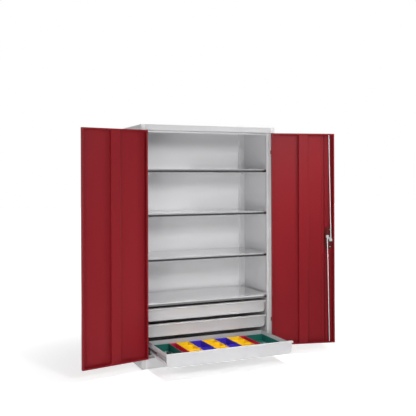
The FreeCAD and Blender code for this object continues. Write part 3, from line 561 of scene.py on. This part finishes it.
class CABINET_OT_lock_fittings(bpy.types.Operator):
    """Add the spindle end, the rings on the cam pins and the screws of the handle cup"""

    bl_idname = "cabinet.lock_fittings"
    bl_label = "Fit the lock's small parts"

    def execute(self, context):
        joint = next(item for item in frame["joints"] if item["name"] == "handle_turn")
        upward = Vector((0, 0, 1))
        inward = Vector(joint["axis"]).normalized()
        place = Matrix((upward.cross(inward), upward, inward)).transposed().to_4x4()
        place.translation = Vector(joint["pos_m"])
        add_cam_fittings(place)
        add_cup_screws(place)
        return {"FINISHED"}


def add_cam_fittings(place):
    """A dark square spindle end in the middle of the cam, and a ring on each of its pins."""
    middle = place @ Matrix.Translation((0, 0, CAM_FACE)) @ Matrix.Rotation(math.pi / 4, 4, "Z")
    end = repeated(turned(SPINDLE_END, steps=4), [middle])
    finish_piece(end, "spindle_end", "lock_handle", "black_plastic")
    level = PIN_TOP - RING_HEIGHT
    pins = [place @ Matrix.Translation((way * CAM_PIN, -way * CAM_PIN, level)) for way in (-1, 1)]
    finish_piece(repeated(turned(CAM_RING, steps=20), pins), "cam_rings", "lock_handle", "lock_steel")


def add_cup_screws(place):
    """Two pan-head screws that hold the handle cup."""
    spots = [place @ Matrix.Translation((CUP_SCREW_SIDE, height, CUP_FACE))
             for height in (-CUP_SCREW_HEIGHT, CUP_SCREW_HEIGHT)]
    finish_piece(repeated(turned(SCREW_HEAD, steps=18), spots), "cup_screws", "right_door", "lock_steel")


class CABINET_OT_hinge_caps(bpy.types.Operator):
    """Add a domed cap on each hinge pin"""

    bl_idname = "cabinet.hinge_caps"
    bl_label = "Cap the hinge pins"

    def execute(self, context):
        places = [Matrix.Translation((joint["pos_m"][0], joint["pos_m"][1], level + CAP_GAP))
                  for joint, side in door_hinges() for level in knuckle_tops(side)]
        finish_piece(repeated(turned(HINGE_CAP, steps=18), places), "hinge_pin_caps", "cabinet", "zinc")
        return {"FINISHED"}


def knuckle_tops(side):
    """Heights of the upper ends of a door's knuckles."""
    low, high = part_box(f"{side}_door_knuckles")
    return low[2] + KNUCKLE_HEIGHT, high[2]


# Spot welds: the brims' distances out from a hinge axis and in from it, and how far the doors are open
STIFFENER_BRIMS = (0.2315, 0.3295)
BRIM_FACE = 0.0082
DOOR_ANGLES = {"left": 168, "right": 167}
# The first weld's place as a share of the pitch, and a weld's outline as shares of its radius and heights
FIRST_WELD = 0.6
WELD_OUTLINE = ((0, 0.0001), (0.6, 0.0001), (0.8, 0.0004), (1, 0), (0, 0))


class CABINET_OT_spot_welds(bpy.types.Operator):
    """Add the spot welds along the brims of the door stiffeners"""

    bl_idname = "cabinet.spot_welds"
    bl_label = "Mark the spot welds"

    def execute(self, context):
        sizes = context.scene.cabinet_fittings
        for joint, side in door_hinges():
            low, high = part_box(f"{side}_door_stiffener")
            count = int((high[2] - low[2]) / sizes.weld_pitch)
            levels = [low[2] + sizes.weld_pitch * (step + FIRST_WELD) for step in range(count)]
            place = door_place(joint, side)
            facing = Matrix.Rotation(-math.pi / 2, 4, "X")
            spots = [place @ Matrix.Translation((brim, BRIM_FACE, level)) @ facing
                     for brim in STIFFENER_BRIMS for level in levels]
            welds = repeated(weld_shape(sizes.weld_radius), spots)
            finish_piece(welds, f"{side}_spot_welds", f"{side}_door", "door_red")
        return {"FINISHED"}


def weld_shape(radius):
    """A shallow dish with a raised rim."""
    return turned([(radius * share, height) for share, height in WELD_OUTLINE], steps=14)


def door_place(joint, side):
    """Matrix from distances out from a door's hinge axis and in from it to the open door."""
    way = 1 if side == "left" else -1
    out = Matrix.Rotation(-way * math.radians(DOOR_ANGLES[side]), 4, "Z")
    place = Matrix.Translation((joint["pos_m"][0], joint["pos_m"][1], 0)) @ out
    return place @ Matrix.Diagonal((way, 1, 1, 1))


# Bin contents: the bins' modules, gaps and floor, and how the loose parts lie on it
BIN_MODULES = 18
BIN_GAP = 0.0004
BIN_MARGIN = 0.006
BIN_FLOOR = 0.0016
BOLT_TILT = 94.6
BOLT_LIFT = 0.0056
PLUG_TILT = 91.5
PLUG_LIFT = 0.0046
LYING_ROOM = 0.36
WASHER_HOLE = 0.45
WASHER_HEIGHT = 0.0022
WASHER_ROOM = 1.02
TRIES_PER_PART = 60
# Name, kind, finish, most parts, bin modules from the left, and share of the bin's depth from the front
CONTENTS = (
    ("bright_bolts", "bolt", "nickel", 16, (0, 2), (0.60, 0.95)),
    ("brass_bolts", "bolt", "brass", 14, (1, 3), (0.12, 0.45)),
    ("dark_plugs", "plug", "black_plastic", 8, (1.4, 3), (0.55, 0.90)),
    ("brass_washers", "washer", "brass", 12, (6, 8), (0.62, 0.98)),
    ("black_plugs", "plug", "black_plastic", 9, (10, 12), (0.60, 0.98)),
    ("brass_rings", "washer", "brass", 6, (10, 12), (0.52, 0.78)),
    ("pale_plugs", "plug", "nickel", 8, (10, 12), (0.05, 0.30)),
    ("steel_washers", "washer", "zinc", 16, (15, 18), (0.30, 0.85)),
    ("steel_bolts", "bolt", "nickel", 10, (15, 17), (0.35, 0.75)),
)


class CABINET_OT_bin_contents(bpy.types.Operator):
    """Lay bolts, washers and plugs in some of the insert bins"""

    bl_idname = "cabinet.bin_contents"
    bl_label = "Fill the insert bins"

    def execute(self, context):
        sizes = context.scene.cabinet_fittings
        low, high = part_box("green_bins")
        module = (high[0] - low[0] + BIN_GAP) / BIN_MODULES
        depth = high[1] - low[1]
        for name, kind, finish, count, columns, rows in CONTENTS:
            near_left = (low[0] + module * columns[0] + BIN_MARGIN, low[1] + depth * rows[0] + BIN_MARGIN)
            far_right = (low[0] + module * columns[1] - BIN_MARGIN, low[1] + depth * rows[1] - BIN_MARGIN)
            pattern, lift, room = loose_part(kind, sizes)
            places = scattered(name, count, near_left, far_right, room, low[2] + BIN_FLOOR + lift)
            finish_piece(repeated(pattern, places), name, "drawer_3", finish)
        return {"FINISHED"}


def loose_part(kind, sizes):
    """A loose part lying down, how far its middle is above the floor, and the room it takes."""
    if kind == "bolt":
        length = sizes.bolt_length
        return laid_down(bolt_shape(length), length, BOLT_TILT), BOLT_LIFT, length * LYING_ROOM
    if kind == "plug":
        length = sizes.plug_length
        return laid_down(wall_plug_shape(length), length, PLUG_TILT), PLUG_LIFT, length * LYING_ROOM
    return washer_shape(sizes.washer_radius), 0, sizes.washer_radius * WASHER_ROOM


def bolt_shape(length):
    """An upright bolt on its head."""
    return turned([(0, length), (0.0028, length), (0.004, length - 0.0014), (0.004, 0.0055),
                   (0.0068, 0.0055), (0.0072, 0.0045), (0.0072, 0.0006), (0.0064, 0), (0, 0)], steps=12)


def wall_plug_shape(length):
    """An upright wall plug on its collar, with a waist above its middle."""
    return turned([(0, length), (0.0025, length), (0.0036, length * 0.8), (0.0032, length * 0.55),
                   (0.0040, length * 0.5), (0.0040, 0.0016), (0.0052, 0.0012), (0.0052, 0), (0, 0)],
                  steps=10)


def washer_shape(radius):
    hole = radius * WASHER_HOLE
    return turned([(hole, 0), (radius, 0), (radius, WASHER_HEIGHT), (hole, WASHER_HEIGHT), (hole, 0)],
                  steps=20)


def laid_down(shape, length, tilt):
    """An upright part with its middle moved to the origin, tilted by degrees until it lies down."""
    bmesh.ops.translate(shape, vec=(0, 0, -length / 2), verts=shape.verts[:])
    turn = Matrix.Rotation(math.radians(tilt), 3, "Y")
    bmesh.ops.rotate(shape, cent=(0, 0, 0), matrix=turn, verts=shape.verts[:])
    return shape


def scattered(name, count, low, high, room, level):
    """Places spread over a bin's floor with room between them, the same on every run."""
    chance = random.Random(name)
    spots = []
    for _ in range(count * TRIES_PER_PART):
        spot = (chance.uniform(low[0] + room, high[0] - room),
                chance.uniform(low[1] + room, high[1] - room))
        if all(math.dist(spot, other) > room * 2 for other in spots):
            spots.append(spot)
        if len(spots) == count:
            break
    return [Matrix.Translation((x, y, level)) @ Matrix.Rotation(chance.uniform(0, math.tau), 4, "Z")
            for x, y in spots]


# Stage
MIDDLE = (0, 0, 0.9)
# Side of each lamp, the angle that it spreads over, and the point that it is aimed at
LAMPS = {
    "key": (0.8, 180, MIDDLE),
    "fill": (2.0, 180, MIDDLE),
    "left": (1.2, 180, MIDDLE),
    "right": (1.2, 180, MIDDLE),
    "upper": (0.8, 34, (1.0, -0.15, 1.6)),
    "over": (0.5, 42, (0, -0.62, 0.3)),
    "rear": (2.0, 180, MIDDLE),
}
FLOOR_SIZE = 30
FLOOR_TONE = 0.86
FLOOR_ROUGHNESS = 0.9
# The floor's own light, from its value near the cabinet to the one far from it
FLOOR_FADE = {"From Min": 0.9, "From Max": 3.0, "To Min": 0.45, "To Max": 0.95}
WHITE = (1, 1, 1, 1)
SENSOR_WIDTH = 36


class CABINET_OT_stage(bpy.types.Operator):
    """Add the floor, the lights and the camera at the photograph's angle"""

    bl_idname = "cabinet.stage"
    bl_label = "Set the stage"

    def execute(self, context):
        settings = context.scene.cabinet_stage
        add_floor()
        for name in LAMPS:
            add_lamp(name, getattr(settings, f"{name}_power"), getattr(settings, f"{name}_place"))
        add_world(settings.sky)
        add_camera(settings)
        context.scene.view_settings.view_transform = "Standard"
        return {"FINISHED"}


def add_seen_rays(tree):
    """1 for rays from the camera, direct or by way of a mirror or glass, and 0 for the others."""
    rays = tree.nodes.new("ShaderNodeLightPath")
    seen = add_math(tree, "MAXIMUM", rays.outputs["Is Camera Ray"], rays.outputs["Is Glossy Ray"])
    return add_math(tree, "MAXIMUM", seen, rays.outputs["Is Transmission Ray"])


def add_floor():
    """A pale floor that keeps the cabinet's shadow and runs out to white."""
    shape = bmesh.new()
    bmesh.ops.create_grid(shape, x_segments=1, y_segments=1, size=FLOOR_SIZE)
    mesh = bpy.data.meshes.new("studio_floor")
    shape.to_mesh(mesh)
    shape.free()
    mesh.materials.append(make_floor_material())
    floor = bpy.data.objects.new("studio_floor", mesh)
    bpy.context.collection.objects.link(floor)


def make_floor_material():
    """Pale grey with a glow that grows with the distance, and that is seen but lights no dull surface."""
    material = bpy.data.materials.new("pale_floor")
    material.use_nodes = True
    tree = material.node_tree
    shader = tree.nodes["Principled BSDF"]
    shader.inputs["Base Color"].default_value = (FLOOR_TONE, FLOOR_TONE, FLOOR_TONE, 1)
    shader.inputs["Roughness"].default_value = FLOOR_ROUGHNESS
    shader.inputs["Emission Color"].default_value = WHITE
    place = tree.nodes.new("ShaderNodeTexCoord")
    reach = tree.nodes.new("ShaderNodeVectorMath")
    reach.operation = "LENGTH"
    tree.links.new(place.outputs["Object"], reach.inputs[0])
    fade = tree.nodes.new("ShaderNodeMapRange")
    fade.interpolation_type = "SMOOTHSTEP"
    for label, value in FLOOR_FADE.items():
        fade.inputs[label].default_value = value
    tree.links.new(reach.outputs["Value"], fade.inputs["Value"])
    glow = add_math(tree, "MULTIPLY", add_seen_rays(tree), fade.outputs["Result"])
    tree.links.new(glow, shader.inputs["Emission Strength"])
    return material


def add_lamp(name, power, place):
    """A square soft lamp, itself unseen."""
    side, spread, aim = LAMPS[name]
    light = bpy.data.lights.new(f"{name}_lamp", "AREA")
    light.energy = power
    light.size = side
    light.spread = math.radians(spread)
    lamp = bpy.data.objects.new(f"{name}_lamp", light)
    lamp.location = place
    lamp.rotation_euler = (Vector(aim) - Vector(place)).to_track_quat("-Z", "Y").to_euler()
    lamp.visible_camera = False
    bpy.context.collection.objects.link(lamp)


def add_world(strength):
    """Even light all round, white where it is seen."""
    world = bpy.data.worlds.new("studio")
    world.use_nodes = True
    tree = world.node_tree
    lift = add_math(tree, "MULTIPLY", add_seen_rays(tree), 1 - strength)
    background = tree.nodes["Background"]
    background.inputs["Color"].default_value = WHITE
    tree.links.new(add_math(tree, "ADD", lift, strength), background.inputs["Strength"])
    bpy.context.scene.world = world


def add_camera(settings):
    """A camera at the photograph's place that isn't pitched, with its view lowered by a shift."""
    data = bpy.data.cameras.new("photo_camera")
    data.sensor_width = SENSOR_WIDTH
    data.lens = settings.lens
    data.shift_y = -settings.shift_down
    camera = bpy.data.objects.new("photo_camera", data)
    camera.location = settings.camera_place
    camera.rotation_euler = (math.pi / 2, settings.camera_roll, -settings.camera_heading)
    bpy.context.collection.objects.link(camera)
    bpy.context.scene.camera = camera


class CABINET_PT_sidebar(bpy.types.Panel):
    """Lists the steps that dress the cabinet"""

    bl_label = "Steel cabinet"
    bl_idname = "CABINET_PT_sidebar"
    bl_space_type = "VIEW_3D"
    bl_region_type = "UI"
    bl_category = "Cabinet"

    def draw(self, context):
        for operator in OPERATORS:
            self.layout.operator(operator.bl_idname)


OPERATORS = (
    CABINET_OT_finish_sheet_metal,
    CABINET_OT_runner_ends,
    CABINET_OT_lock_fittings,
    CABINET_OT_hinge_caps,
    CABINET_OT_spot_welds,
    CABINET_OT_bin_contents,
    CABINET_OT_stage,
)
CLASSES = (CabinetFinishes, CabinetFittings, CabinetStage, *OPERATORS, CABINET_PT_sidebar)


def register():
    for item in CLASSES:
        bpy.utils.register_class(item)
    bpy.types.Scene.cabinet_finishes = PointerProperty(type=CabinetFinishes)
    bpy.types.Scene.cabinet_fittings = PointerProperty(type=CabinetFittings)
    bpy.types.Scene.cabinet_stage = PointerProperty(type=CabinetStage)


def unregister():
    del bpy.types.Scene.cabinet_stage
    del bpy.types.Scene.cabinet_fittings
    del bpy.types.Scene.cabinet_finishes
    for item in reversed(CLASSES):
        bpy.utils.unregister_class(item)


def main():
    register()
    bpy.ops.cabinet.finish_sheet_metal()
    bpy.ops.cabinet.runner_ends()
    bpy.ops.cabinet.lock_fittings()
    bpy.ops.cabinet.hinge_caps()
    bpy.ops.cabinet.spot_welds()
    bpy.ops.cabinet.bin_contents()
    bpy.ops.cabinet.stage()


if __name__ == "__main__":
    main()
